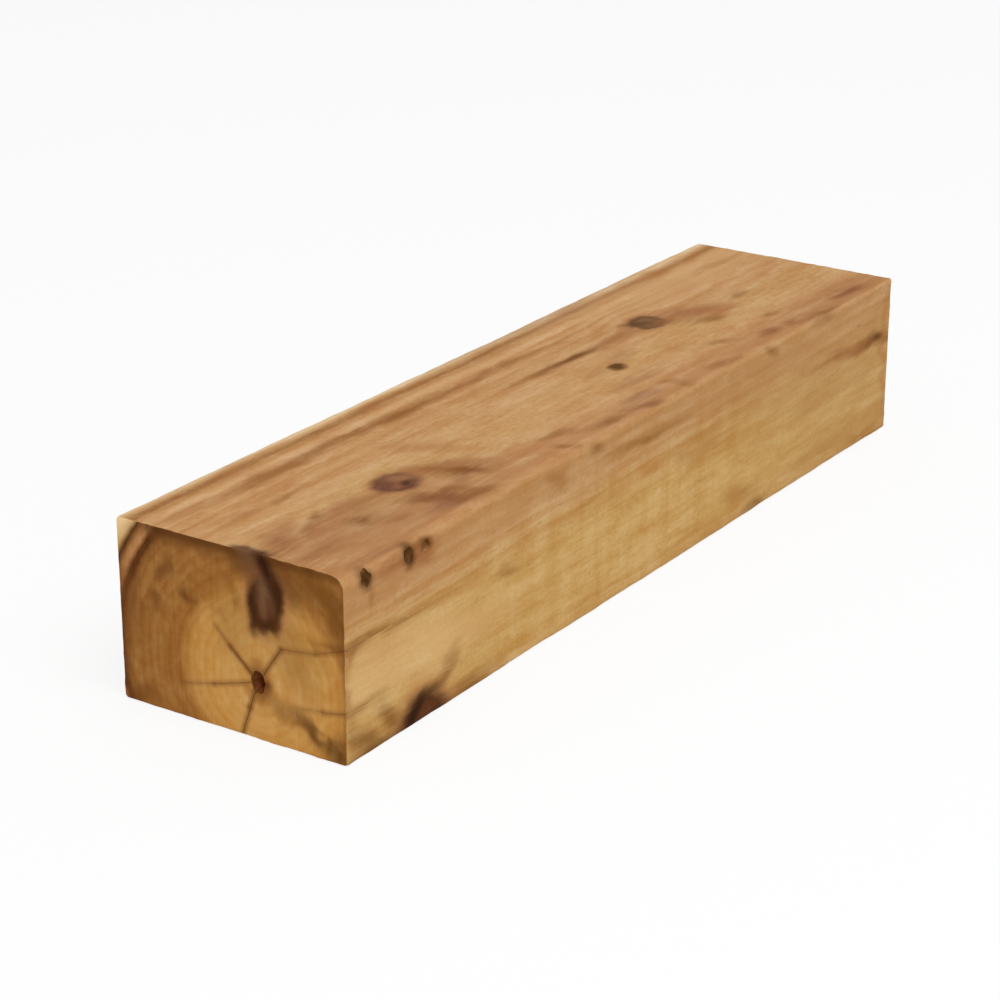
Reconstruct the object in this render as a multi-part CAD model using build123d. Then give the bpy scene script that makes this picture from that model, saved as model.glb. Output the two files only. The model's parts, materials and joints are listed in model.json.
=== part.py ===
from build123d import *
import math
import os

# A short length of sawn cypress post, lying on one of its wide faces. Sizes are in millimetres.
# X runs along the grain, with the end that shows the open heart at -X, and Z is up from the floor.

# Sawn section and length
LENGTH = 420.0
WIDTH = 103.0
HEIGHT = 73.0

# Long arrises are worn round by handling, the upper right one the most, and the rims of the two ends
# are only broken
ARRIS_RADIUS = 1.8
WORN_ARRIS_RADIUS = 3.0
RIM_RADIUS = 0.5

# The heart, where the growth rings start: a tapered pocket in each end where the pith has dried out
HEART_Y = -12.4
HEART_Z = 23.0
HEART_WIDTH = 5.0
HEART_HEIGHT = 8.8
HEART_DEPTH = 10.0
HEART_FLOOR_SHARE = 0.35

# Drying checks are splits that are open at the end face and close along a line inside the post.
# Each runs through stations of (across, up, mouth width, depth), across and up being taken from the
# heart. A run that ends past a face breaks out through that face.
TIP_WIDTH = 0.2
TIP_DEPTH = 3.0
BREAKOUT = 1.0
TO_RIGHT_FACE = -WIDTH / 2 - BREAKOUT - HEART_Y
TO_UNDERSIDE = -BREAKOUT - HEART_Z
TO_TOP_FACE = HEIGHT + BREAKOUT - HEART_Z
FOOT_CHECKS = {
    "upper_left": [
        (0.0, 0.0, 0.8, 34.0),
        (12.1, 10.9, 0.6, 22.0),
        (19.0, 17.6, TIP_WIDTH, TIP_DEPTH),
    ],
    "upper_right": [
        (0.0, 0.0, 0.7, 34.0),
        (-10.8, 15.6, 0.5, 26.0),
        (-25.9, 17.6, 0.4, 36.0),
        (TO_RIGHT_FACE, 22.4, 0.6, 50.0),
    ],
    "left": [
        (0.0, 0.0, 0.5, 18.0),
        (20.6, -6.0, 0.4, 12.0),
        (36.0, -9.4, TIP_WIDTH, TIP_DEPTH),
    ],
    "downward": [
        (0.0, 0.0, 0.7, 30.0),
        (4.2, -11.0, 0.6, 26.0),
        (8.4, TO_UNDERSIDE, 0.6, 30.0),
    ],
    "lower_right": [
        (-17.0, -5.7, TIP_WIDTH, TIP_DEPTH),
        (-29.0, -4.2, 0.3, 20.0),
        (TO_RIGHT_FACE, -2.2, 0.5, 36.0),
    ],
    "knot_split": [
        (-6.4, 41.6, TIP_WIDTH, TIP_DEPTH),
        (-2.6, TO_TOP_FACE, 1.0, 14.0),
    ],
}

# The other end has three short plain checks, fanned round its heart
HEAD_CHECK_ANGLES = (80.0, 200.0, 320.0)
HEAD_CHECK_REACH = 18.0
HEAD_CHECK_WIDTH = 0.6
HEAD_CHECK_DEPTH = 20.0

# Chips out of the right face, just under the worn arris: (distance from the foot end, radius)
ARRIS_CHIPS = [(13.5, 2.2), (39.0, 2.4), (50.0, 1.2)]
CHIP_DROP = 4.6
CHIP_STRETCH = 1.5

FOOT = -1
HEAD = 1
MOUTH_CLEARANCE = 1.0


def worn_section():
    """The section across the grain, with its corners worn round."""
    section = Rectangle(WIDTH, HEIGHT, align=(Align.CENTER, Align.MIN))
    upper_right = (-WIDTH / 2, HEIGHT, 0)
    section = fillet(section.vertices().sort_by_distance(upper_right)[0], WORN_ARRIS_RADIUS)
    square_corners = section.vertices().sort_by_distance(upper_right)[2:]
    return fillet(square_corners, ARRIS_RADIUS)


def sawn_block():
    """The post as it leaves the saw, with its arrises and rims eased."""
    block = extrude(Plane.YZ * worn_section(), LENGTH / 2, both=True)
    rims = block.faces().filter_by(Axis.X).edges()
    return fillet(rims, RIM_RADIUS)


def heart_pocket(end):
    """The dried-out pith in one end, an oval mouth that tapers inwards."""
    mouth = Plane((end * LENGTH / 2, HEART_Y, HEART_Z), x_dir=(0, 1, 0), z_dir=(end, 0, 0))
    outer = Ellipse(HEART_WIDTH / 2, HEART_HEIGHT / 2)
    inner = scale(outer, HEART_FLOOR_SHARE)
    flare = MOUTH_CLEARANCE * (1 - HEART_FLOOR_SHARE) / HEART_DEPTH
    clear = mouth.offset(MOUTH_CLEARANCE) * scale(outer, 1 + flare)
    floor = mouth.offset(-HEART_DEPTH) * inner
    return loft([clear, floor])


def drying_check(stations, end):
    """One check in one end: a wedge through its stations, open at the end face and closed at depth."""
    sections = []
    for index, (across, up, width, depth) in enumerate(stations):
        before = stations[max(index - 1, 0)]
        after = stations[min(index + 1, len(stations) - 1)]
        run = Vector(0, after[0] - before[0], after[1] - before[1]).normalized()
        lip = run.cross(Vector(1, 0, 0)) * (width / 2 * (depth + MOUTH_CLEARANCE) / depth)
        mouth = Vector(end * (LENGTH / 2 + MOUTH_CLEARANCE), HEART_Y + across, HEART_Z + up)
        closed_line = Vector(end * (LENGTH / 2 - depth), HEART_Y + across, HEART_Z + up)
        sections.append(Face(Wire.make_polygon([mouth + lip, closed_line, mouth - lip])))
    return loft(sections, ruled=True)


def head_check_stations(angle):
    """Stations of a plain check that leaves the heart at an angle in degrees from the left."""
    across = HEAD_CHECK_REACH * math.cos(math.radians(angle))
    up = HEAD_CHECK_REACH * math.sin(math.radians(angle))
    return [(0.0, 0.0, HEAD_CHECK_WIDTH, HEAD_CHECK_DEPTH), (across, up, TIP_WIDTH, TIP_DEPTH)]


def arris_chip(from_foot, radius):
    """A shallow bite under the upper right arris, longer down the face than along the grain."""
    bite = scale(Sphere(radius), (1, 1, CHIP_STRETCH))
    return Pos(from_foot - LENGTH / 2, -WIDTH / 2, HEIGHT - CHIP_DROP) * bite


post = sawn_block()
for end in (FOOT, HEAD):
    post -= heart_pocket(end)
for stations in FOOT_CHECKS.values():
    post -= drying_check(stations, FOOT)
for angle in HEAD_CHECK_ANGLES:
    post -= drying_check(head_check_stations(angle), HEAD)
for from_foot, radius in ARRIS_CHIPS:
    post -= arris_chip(from_foot, radius)

os.makedirs("parts", exist_ok=True)
export_step(post, "parts/post.step")
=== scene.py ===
import json
import math
from types import SimpleNamespace

import bmesh
import bpy
import numpy as np
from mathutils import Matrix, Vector, noise

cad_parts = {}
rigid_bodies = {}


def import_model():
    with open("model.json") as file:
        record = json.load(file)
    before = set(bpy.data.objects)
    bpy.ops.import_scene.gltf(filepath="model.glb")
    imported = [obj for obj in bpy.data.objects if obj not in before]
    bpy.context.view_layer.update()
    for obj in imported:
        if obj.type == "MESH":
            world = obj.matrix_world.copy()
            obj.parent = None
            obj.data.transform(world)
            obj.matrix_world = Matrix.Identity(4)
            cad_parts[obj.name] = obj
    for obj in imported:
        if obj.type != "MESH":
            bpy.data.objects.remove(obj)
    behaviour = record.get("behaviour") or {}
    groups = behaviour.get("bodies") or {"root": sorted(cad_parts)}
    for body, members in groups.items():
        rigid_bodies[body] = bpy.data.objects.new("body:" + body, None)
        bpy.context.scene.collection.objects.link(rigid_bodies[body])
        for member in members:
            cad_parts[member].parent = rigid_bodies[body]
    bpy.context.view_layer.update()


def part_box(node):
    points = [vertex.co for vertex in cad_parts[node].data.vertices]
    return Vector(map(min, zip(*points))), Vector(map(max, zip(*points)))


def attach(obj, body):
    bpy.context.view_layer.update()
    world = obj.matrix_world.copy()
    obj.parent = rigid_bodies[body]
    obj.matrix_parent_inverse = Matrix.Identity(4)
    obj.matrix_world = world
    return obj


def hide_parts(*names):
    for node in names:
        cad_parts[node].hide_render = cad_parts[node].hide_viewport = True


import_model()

# Everything below is in millimetres, with X counted from the foot end, the one that shows its heart.
MM = 0.001
LOW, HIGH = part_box("post")
LENGTH, WIDTH, HEIGHT = [(high - low) / MM for low, high in zip(LOW, HIGH)]
ROW_ORIGIN = (LENGTH / 2, 0.0, 0.0)
RIGHT_FACE = -WIDTH / 2
LEFT_FACE = WIDTH / 2

# The heart in each end
HEART_Y = -12.4
HEART_Z = 23.0
HEART_WIDTH = 5.0
HEART_HEIGHT = 8.8
HEART_DEPTH = 10.0
HEART_FLOOR_SHARE = 0.35
HEART_SPREAD = (1.35, 1.12)
HEART_SIDES = 20
HEART_LEVELS = 6
HEART_RAGGED = 0.18
HEART_TEARS = ((3, 0.5, 0.5), 12.5)

# Skin of the sawn block
FACE_PITCH = 1.16
GRAIN_PITCH = 1.85
EDGE_LINES = (0.0, 0.4, 0.9, 1.5, 2.3, 3.3, 4.6)
ARRIS_RADIUS = 1.8
FOOT_WORN_RADIUS = 4.2
HEAD_WORN_RADIUS = 1.6
ARRIS_WEAR = 0.45
CORNER_DIP = 1.5
CORNER_DIP_REACH = (60.0, 9.0)
CORNER_DIP_CURVE = 1.5
RIM_EASE = 0.35
RIM_REACH = 1.0
RIM_RAGGED = 0.8
RIM_TEARS = ((5, 4, 4), 6.6)
SHARP_ANGLE = math.radians(38)

# Wear along the arrises, in long stretches and in nicks: wavelengths and where each pattern starts,
# and how far apart the arrises lie in it across and up
WEAR_STRETCHES = ((38, 17, 17), 4.7)
WEAR_NICKS = ((9, 17, 17), 8.3)
NICK_SHARE = 0.6
ARRISES_APART = (100, 50)

# Relief of the skin: wavelengths along each axis, height and where the pattern starts
UNEVENNESS = ((95, 48, 48), 0.20, 2.1)
SAW_WAVES = ((3.4, 60, 60), 0.09, 5.9)
SAW_EVEN_SHARE = 0.6
SAW_PATCHES = ((70, 25, 25), 0.6, 9.2)
FIBRE_RIDGES = ((34, 2.3, 2.3), 0.07, 1.3)
END_STROKES = ((2.6, 8, 40), 0.10, 7.7)
END_PITS = ((40, 2.5, 2.5), 0.05, 3.3)
STROKE_SLANT = (0.97, 0.24)
STROKE_FLATTENING = 0.05
SKIN_SINK = 0.12

# Drying checks in the foot end, as stations of (across, up, mouth width, depth) from the heart
TIP = (0.2, 3.0)
BREAKOUT = 1.0
TO_RIGHT = RIGHT_FACE - BREAKOUT - HEART_Y
TO_UNDERSIDE = -BREAKOUT - HEART_Z
TO_TOP = HEIGHT + BREAKOUT - HEART_Z
FOOT_CHECKS = {
    "upper_left": [(0, 0, 0.8, 34), (12.1, 10.9, 0.6, 22), (19.0, 17.6, *TIP)],
    "upper_right": [
        (0, 0, 0.7, 34), (-10.8, 15.6, 0.5, 26), (-25.9, 17.6, 0.2, 36), (TO_RIGHT, 22.4, 0.6, 50),
    ],
    "left": [(0, 0, 0.5, 18), (20.6, -6.0, 0.4, 12), (36, -9.4, *TIP)],
    "downward": [(0, 0, 0.7, 30), (4.2, -11.0, 0.6, 26), (8.4, TO_UNDERSIDE, 0.6, 30)],
    "lower_right": [(-17, -5.7, *TIP), (-29, -4.2, 0.3, 20), (TO_RIGHT, -2.2, 0.5, 36)],
    "knot_split": [(-6.4, 41.6, *TIP), (-2.6, TO_TOP, 1.0, 14)],
}
HEAD_CHECK_ANGLES = (80.0, 200.0, 320.0)
HEAD_CHECK_REACH = 18.0
HEAD_CHECK_SIZE = (0.6, 20.0)
CHECK_STEP = 1.6
CHECK_LEVELS = 8
CHECK_WANDER = 0.45
CHECK_BENDS = (11, 7, 7)
CHECK_CLOSING = 0.35
CHECK_TAPER = 0.8
CHECK_RAGGED = 0.45
CHECK_TEARS = (6, 3, 3)
MOUTH_CLEARANCE = 1.0

# Chips out of the right face, just under the worn arris: (distance from the foot end, radius)
ARRIS_CHIPS = [(13.3, 2.9), (38.8, 2.8), (49.6, 1.7)]
CHIP_DROP = 5.0
CHIP_STRETCH = 1.15
CHIP_RAGGED = 0.35
CHIP_LUMPS = 0.7


def ripple(points, wavelengths, seed):
    """Smooth noise from -1 to 1 at each point, with a wavelength of its own along each axis."""
    scaled = np.asarray(points) / np.asarray(wavelengths, float) + seed
    return np.array([noise.noise(place) for place in scaled.tolist()])


def loosened(points, wavelengths, amounts, seed):
    """The points, moved about by noise of these wavelengths along each axis."""
    shifts = [ripple(points, wavelengths, seed + 30 * axis) for axis in range(3)]
    return points + np.stack(shifts, axis=1) * amounts


def mesh_object(name, points, faces, collection):
    """A mesh object from points in millimetres from the foot end."""
    mesh = bpy.data.meshes.new(name)
    row_points = (np.asarray(points, float) - ROW_ORIGIN) * MM
    mesh.from_pydata(row_points.tolist(), [], [list(face) for face in faces])
    mesh.update()
    made = bpy.data.objects.new(name, mesh)
    collection.objects.link(made)
    return made


def points_and_normals(mesh):
    """The points of a mesh in millimetres from the foot end, and the normals there."""
    places = np.empty(len(mesh.vertices) * 3)
    mesh.vertices.foreach_get("co", places)
    normals = np.empty(len(mesh.vertices) * 3)
    mesh.vertex_normals.foreach_get("vector", normals)
    return places.reshape(-1, 3) / MM + ROW_ORIGIN, normals.reshape(-1, 3)


# The sawn block

def lattice_lines(length, pitch):
    """Places from 0 to length, close together beside the two ends and even between."""
    edge = np.array(EDGE_LINES)
    count = round((length - 2 * edge[-1]) / pitch)
    middle = np.linspace(edge[-1], length - edge[-1], count + 1)
    return np.concatenate([edge[:-1], middle, length - edge[-2::-1]])


def block_skin(xs, ys, zs):
    """Points and outward quads of a box's skin, with a point at each crossing of the lines."""
    counts = (len(xs), len(ys), len(zs))
    skin = np.zeros(counts, bool)
    skin[[0, -1]] = True
    skin[:, [0, -1]] = True
    skin[:, :, [0, -1]] = True
    index = np.full(counts, -1)
    index[skin] = np.arange(skin.sum())
    points = np.stack([grid[skin] for grid in np.meshgrid(xs, ys, zs, indexing="ij")], axis=1)
    sheets = [index[-1], index[0].T, index[:, 0], index[:, -1].T, index[:, :, -1], index[:, :, 0].T]
    quads = []
    for sheet in sheets:
        corners = (sheet[:-1, :-1], sheet[1:, :-1], sheet[1:, 1:], sheet[:-1, 1:])
        quads.append(np.stack([corner.ravel() for corner in corners], axis=1))
    return points, np.concatenate(quads)


def round_arrises(points):
    """Rounds the four long arrises, the upper right one most, and each more in some stretches."""
    across, up = points[:, 1], points[:, 2] - HEIGHT / 2
    apart_y, apart_z = ARRISES_APART
    along_arris = np.stack([points[:, 0], np.sign(across) * apart_y, np.sign(up) * apart_z], axis=1)
    wear = ripple(along_arris, *WEAR_STRETCHES) + NICK_SHARE * ripple(along_arris, *WEAR_NICKS)
    worn = FOOT_WORN_RADIUS + (HEAD_WORN_RADIUS - FOOT_WORN_RADIUS) * points[:, 0] / LENGTH
    radius = np.where((across < 0) & (up > 0), worn, ARRIS_RADIUS) * (1 + ARRIS_WEAR * wear)
    beyond_y = np.maximum(np.abs(across) - (WIDTH / 2 - radius), 0)
    beyond_z = np.maximum(np.abs(up) - (HEIGHT / 2 - radius), 0)
    reach = np.maximum(np.hypot(beyond_y, beyond_z), 1e-9)
    pull = 1 - np.maximum(beyond_y, beyond_z) / reach
    rounded = points.copy()
    rounded[:, 1] -= np.sign(across) * beyond_y * pull * (beyond_z > 0)
    rounded[:, 2] -= np.sign(up) * beyond_z * pull * (beyond_y > 0)
    along, inwards = CORNER_DIP_REACH
    near_foot = np.clip(1 - points[:, 0] / along, 0, 1)
    near_arris = np.clip(1 - (across - RIGHT_FACE) / inwards, 0, 1)
    near_top = np.clip(up / (HEIGHT / 2), 0, 1)
    rounded[:, 2] -= CORNER_DIP * near_foot * near_arris ** CORNER_DIP_CURVE * near_top
    return rounded


def relief(points, wavelengths, height, seed):
    """The height of one pattern of relief at each point."""
    return height * ripple(points, wavelengths, seed)


def saw_relief(points, normals):
    """How far each point of the skin lies in or out of its plane, from the saw and the fibres."""
    on_end = np.abs(normals[:, 0])
    sawn = relief(points, *SAW_WAVES) * (SAW_EVEN_SHARE + relief(points, *SAW_PATCHES))
    face = relief(points, *UNEVENNESS) + sawn + relief(points, *FIBRE_RIDGES)
    slanted = points[:, 1:] @ STROKE_SLANT
    stroke_places = np.stack([slanted, points[:, 2] * STROKE_FLATTENING, points[:, 0]], axis=1)
    end = relief(stroke_places, *END_STROKES) + relief(points, *END_PITS)
    return face * (1 - on_end) + end * on_end - SKIN_SINK


def rim_ease(points):
    """How far each point near an end's rim is pulled in, first along X and then square to the faces."""
    from_end = np.minimum(points[:, 0], LENGTH - points[:, 0])
    from_left_or_right = LEFT_FACE - np.abs(points[:, 1])
    from_top_or_floor = HEIGHT / 2 - np.abs(points[:, 2] - HEIGHT / 2)
    from_side = np.minimum(from_left_or_right, from_top_or_floor)
    torn = RIM_EASE * (1 + RIM_RAGGED * ripple(points, *RIM_TEARS))
    inward = torn * np.clip(1 - from_side / RIM_REACH, 0, 1) ** 2 * (from_end < RIM_REACH)
    square = torn * np.clip(1 - from_end / RIM_REACH, 0, 1) ** 2 * (from_side < RIM_REACH)
    return inward, square


def sawn_block(collection):
    """The post as it leaves the saw, before it dries and splits."""
    xs = lattice_lines(LENGTH, GRAIN_PITCH)
    ys = lattice_lines(WIDTH, FACE_PITCH) - WIDTH / 2
    zs = lattice_lines(HEIGHT, FACE_PITCH)
    points, quads = block_skin(xs, ys, zs)
    block = mesh_object("cypress_post", round_arrises(points), quads, collection)
    mesh = block.data
    places, normals = points_and_normals(mesh)
    inward, square = rim_ease(points)
    moved = places + normals * saw_relief(places, normals)[:, None]
    moved[:, 0] += np.where(points[:, 0] < LENGTH / 2, inward, -inward)
    moved[:, 1:] -= normals[:, 1:] * square[:, None]
    moved[:, 2] = np.maximum(moved[:, 2], 0.0)
    mesh.vertices.foreach_set("co", ((moved - ROW_ORIGIN) * MM).ravel())
    mesh.update()
    return block


# What is cut out of it

def split_line(stations):
    """Points close together along the mouth of a split, and its width and depth at each."""
    line, sizes = [], []
    for (start, *from_size), (stop, *to_size) in zip(stations, stations[1:]):
        steps = max(2, round(np.linalg.norm(np.subtract(stop, start)) / CHECK_STEP))
        for share in np.arange(steps) / steps:
            line.append(np.add(start, np.subtract(stop, start) * share))
            sizes.append(np.add(from_size, np.subtract(to_size, from_size) * share))
    line.append(np.array(stations[-1][0], float))
    sizes.append(np.array(stations[-1][1:], float))
    return np.array(line, float), np.array(sizes)


def blade_faces(count):
    """The faces of a blade with this many points along it, whose two sides meet at its last level."""
    front = np.arange(CHECK_LEVELS * count).reshape(CHECK_LEVELS, count)
    back = np.concatenate([CHECK_LEVELS * count + front[:-1], front[-1:]])
    sides = ((front, [0, 1, 3, 2]), (back, [0, 2, 3, 1]))
    faces = []
    for level in range(CHECK_LEVELS - 1):
        for step in range(count - 1):
            for side, order in sides:
                faces.append(side[level:level + 2, step:step + 2].ravel()[order])
        for step, turn in ((0, 1), (count - 1, -1)):
            rim = (front[level, step], front[level + 1, step], back[level + 1, step], back[level, step])
            faces.append(tuple(dict.fromkeys(rim))[::turn])
    for step in range(count - 1):
        faces.append((front[0, step + 1], front[0, step], back[0, step], back[0, step + 1]))
    return faces


def split_blade(name, stations, inward, seed, collection):
    """A thin closed blade for one split: stations of (point, mouth width, depth), closing along inward."""
    inward = np.array(inward, float)
    line, sizes = split_line(stations)
    lips = np.cross(np.gradient(line, axis=0), inward)
    lips /= np.linalg.norm(lips, axis=1)[:, None]
    sides = {+1: [], -1: []}
    for level in np.linspace(0, 1, CHECK_LEVELS):
        depth = sizes[:, 1] * level - MOUTH_CLEARANCE * (1 - level)
        middle = line + inward * depth[:, None]
        middle += lips * (CHECK_WANDER * ripple(middle, CHECK_BENDS, seed))[:, None]
        half = CHECK_CLOSING * sizes[:, 0] / 2 * (1 - level) ** CHECK_TAPER
        half *= 1 + CHECK_RAGGED * ripple(middle, CHECK_TEARS, seed + 20)
        for side in sides:
            sides[side].append(middle + lips * (side * half)[:, None])
    points = np.concatenate(sides[+1] + sides[-1][:-1])
    return mesh_object(name, points, blade_faces(len(line)), collection)


def end_split(name, stations, at_head, seed, collection):
    """A check in one sawn end, from stations of (across, up, mouth width, depth) about the heart."""
    x = LENGTH if at_head else 0.0
    inward = (-1, 0, 0) if at_head else (1, 0, 0)
    placed = []
    for across, up, width, depth in stations:
        placed.append(((x, HEART_Y + across, HEART_Z + up), width, depth))
    return split_blade(name, placed, inward, seed, collection)


def heart_plug(name, at_head, collection):
    """The dried-out pith of one end: a ragged oval that tapers inwards."""
    half_width = HEART_SPREAD[0] * HEART_WIDTH / 2
    half_height = HEART_SPREAD[1] * HEART_HEIGHT / 2
    around = np.linspace(0, 2 * math.pi, HEART_SIDES, endpoint=False)
    points = []
    for level in np.linspace(0, 1, HEART_LEVELS):
        depth = HEART_DEPTH * level - MOUTH_CLEARANCE * (1 - level)
        size = 1 - (1 - HEART_FLOOR_SHARE) * level
        ring = np.stack([np.full(HEART_SIDES, depth), np.cos(around), np.sin(around)], axis=1)
        size = size * (1 + HEART_RAGGED * ripple(ring, *HEART_TEARS))
        ring[:, 1] = HEART_Y + ring[:, 1] * size * half_width
        ring[:, 2] = HEART_Z + ring[:, 2] * size * half_height
        points.append(ring)
    points = np.concatenate(points)
    floor_start = len(points) - HEART_SIDES
    faces = [tuple(range(HEART_SIDES)), tuple(range(len(points) - 1, floor_start - 1, -1))]
    for level in range(HEART_LEVELS - 1):
        for step in range(HEART_SIDES):
            here = level * HEART_SIDES + step
            there = level * HEART_SIDES + (step + 1) % HEART_SIDES
            faces.append((here, here + HEART_SIDES, there + HEART_SIDES, there))
    if at_head:
        points[:, 0] = LENGTH - points[:, 0]
    else:
        faces = [face[::-1] for face in faces]
    return mesh_object(name, points, faces, collection)


def arris_chip(name, from_foot, radius, collection):
    """A ragged bite under the upper right arris, longer down the face than along the grain."""
    ball = bmesh.new()
    bmesh.ops.create_icosphere(ball, subdivisions=3, radius=1.0)
    points = np.array([vertex.co for vertex in ball.verts])
    faces = [[vertex.index for vertex in face.verts] for face in ball.faces]
    ball.free()
    points *= (1 + CHIP_RAGGED * ripple(points, CHIP_LUMPS, from_foot))[:, None]
    points = points * radius * (1, 1, CHIP_STRETCH) + (from_foot, RIGHT_FACE, HEIGHT - CHIP_DROP)
    return mesh_object(name, points, faces, collection)


def cut(block, cutters):
    """Takes the cutters out of the block, and deletes them."""
    boolean = block.modifiers.new("splits", "BOOLEAN")
    boolean.operation = "DIFFERENCE"
    boolean.operand_type = "COLLECTION"
    boolean.collection = cutters
    boolean.solver = "MANIFOLD"
    evaluated = block.evaluated_get(bpy.context.evaluated_depsgraph_get())
    dried = bpy.data.meshes.new_from_object(evaluated)
    block.modifiers.clear()
    block.data = dried
    for cutter in list(cutters.objects):
        bpy.data.objects.remove(cutter)
    bpy.data.collections.remove(cutters)


def dried_post():
    """The whole post: the sawn block with its heart, checks and chips taken out."""
    block = sawn_block(bpy.context.scene.collection)
    cutters = bpy.data.collections.new("cutters")
    bpy.context.scene.collection.children.link(cutters)
    for name, at_head in (("foot_heart", False), ("head_heart", True)):
        heart_plug(name, at_head, cutters)
    for seed, (name, stations) in enumerate(FOOT_CHECKS.items()):
        end_split(name, stations, False, 3.0 * seed, cutters)
    for angle in HEAD_CHECK_ANGLES:
        across = HEAD_CHECK_REACH * math.cos(math.radians(angle))
        up = HEAD_CHECK_REACH * math.sin(math.radians(angle))
        stations = [(0, 0, *HEAD_CHECK_SIZE), (across, up, *TIP)]
        end_split("head_check", stations, True, angle, cutters)
    for from_foot, radius in ARRIS_CHIPS:
        arris_chip("chip", from_foot, radius, cutters)
    cut(block, cutters)
    block.data.polygons.foreach_set("use_smooth", np.ones(len(block.data.polygons), bool))
    block.data.set_sharp_from_angle(angle=SHARP_ANGLE)
    return block


post = dried_post()
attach(post, "root")
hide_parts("post")

# Wood, as a solid pattern: each face shows a slice through the same rings and knots

RING_WIDTH = 4.3
RING_CROWDING = 0.6
PITH_DRIFT = -1.2
PITH_DRIFT_SPAN = (0.0, 260.0)
PITH_SWAY_SIZE = 1.2
RING_WAVE_SIZE = 1.2
RING_JITTER_SIZE = 0.5
LATE_WOOD = (0.1, 0.88)
RING_STOP = (1.0, 0.9)
FLAT_SAWN = (0.86, 0.99)
FLAT_SAWN_SHARE = 0.25
KNOT_PUSH = 4.5
KNOT_PUSH_REACH = (3.2, 0.7)
KNOT_HALO = (2.1, 0.8)
KNOT_HALO_STRENGTH = 0.5
KNOT_YEARS = 4.5
KNOT_YEAR_WAVER = 0.15
KNOT_LATE_WOOD = (0.2, 0.9)
KNOT_YEAR_TONE = 0.14
KNOT_RIM = (0.4, 1.0)
KNOT_RIM_TONE = 0.5
KNOT_FIGURE_TONE = 0.4
KNOT_START_SHARE = 0.5
KNOT_LEAST_SHARE = 0.4
KNOT_GROWN = (3.0, 14.0)
RAMP_REACH = 90.0
ALL_ALIKE = 1e6

# Which way the wood faces, from the size of its normal's part along X and along Y
END_FACING = (0.45, 0.8)
SIDE_FACING = (0.5, 0.85)

# How places are moved about: wavelengths and amounts along each axis, and where the pattern starts
SWAYED = ((80, 26, 26), (0, 9, 9), 15.0)
ROUGH = ((8, 4, 4), (6, 4, 4), 6.0)
LOOSE = ((16, 7, 7), (9, 5, 5), 2.0)
STAIN_WARP = ((22, 9, 9), (6, 3, 3), 2.0)
STAIN_FRAY = ((7, 3, 3), (2, 1, 1), 6.0)
MARK_AND_SHADE_FRAY = ((6, 3, 3), (1, 1, 1), 9.0)

# Patterns in the wood: wavelengths along each axis, where the pattern starts, and its octaves
PITH_SWAY = ((90, ALL_ALIKE, ALL_ALIKE), 3.0)
RING_WAVES = ((220, 30, 30), 5.0)
RING_JITTER = ((80, 8, 8), 7.0)
RING_SPACING = ((13, 1, 1), 11.0)
STRANDS = ((60, 3.4, 3.4), 21.0)
FIBRES = ((20, 1.2, 1.2), 13.0)
FINE_FIBRES = ((14, 0.45, 0.45), 17.0)
GRIT = ((2.4, 1.6, 1.6), 43.0, 3.0)
MOTTLING = ((34, 12, 12), 19.0, 3.0)
FIGURE = ((19, 5, 5), 41.0, 3.0)
FLECKS = ((8, 1.1, 1.1), 37.0, 1.0)
SAW_STROKES = ((ALL_ALIKE, 1.4, 45), 23.0)
SAW_BANDS = ((9, ALL_ALIKE, 80), 29.0)
SAW_LINES = ((1.6, 40, 40), 31.0)

# Where the saw bands fade in along the post, and where they fade out
SAW_BAND_SPAN = ((40, 120), (330, 260))

# How much each pattern deepens the colour
FIBRE_TONES = {"strand": 0.10, "fibre": 0.07, "fine_fibre": 0.06}
FIBRE_TONES_ON_END = 0.25
MARK_TONES = {"stroke": 0.08, "band": 0.14, "mottle": 0.11, "figure": 0.15}
GRIT_TONE = 0.12
RING_TONE = 0.14
RING_TONE_ON_END = 0.08
UNEVEN_TONE_ON_END = 0.11
PLAIN_TONE = 0.97

# Blotches: how far the mottling reddens the top and the sides, how the flecks show, how patchy stains are
REDDENING = (0.0, 1.1)
REDDENING_SHARES = (0.65, 0.2)
FLECK_EDGE = (0.55, 1.0)
FLECK_STRENGTH = 0.5
STAIN_PATCHES = (-1.3, 0.5)
STAIN_PATCH_SHARES = (0.6, 1.05)
STAIN_SHARE_ON_END = 0.95

# How high each pattern stands, and the depth and strength of that relief
HEIGHTS = {"strand": 0.2, "fibre": 0.25, "fine_fibre": 0.25, "late": 0.3, "grit": 0.6, "saw_line": 0.35}
BUMP_STRENGTH = 0.4
BUMP_DEPTH = 0.4 * MM
ROUGHNESS = 0.76
FIBRE_ROUGHNESS = 0.05
SHEEN_LEVEL = 0.05

# Colour by distance from the pith along the grain, and by distance from a point beside it on a sawn end
ALONG_GRAIN = [
    (0, (104, 58, 30)), (5.5, (112, 66, 34)), (8, (206, 165, 102)), (30, (203, 162, 100)),
    (40, (199, 158, 96)), (46, (195, 152, 94)), (52, (197, 151, 102)), (60, (194, 147, 98)),
    (66, (200, 154, 105)), (70.5, (205, 160, 112)), (73, (192, 145, 96)), (74.6, (160, 111, 64)),
    (76, (158, 109, 62)), (77.7, (200, 157, 110)), (79.8, (225, 192, 148)), (90, (232, 203, 163)),
]
END_CENTRE_SHIFT = -4.0
ON_END = [
    (0, (120, 70, 34)), (4, (206, 152, 82)), (26, (208, 154, 82)), (34, (200, 146, 76)),
    (40, (168, 114, 56)), (47, (164, 111, 53)), (62, (163, 110, 54)), (65.5, (140, 88, 40)),
    (67.6, (92, 50, 18)), (68.9, (98, 54, 20)), (70.8, (190, 136, 84)), (72.8, (182, 128, 76)),
    (75.5, (86, 48, 16)), (77.6, (226, 180, 116)), (81, (252, 214, 156)), (90, (252, 219, 162)),
]
# Painted shade deep inside the splits
CRACK_SHADE = (114, 70, 32)
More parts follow.
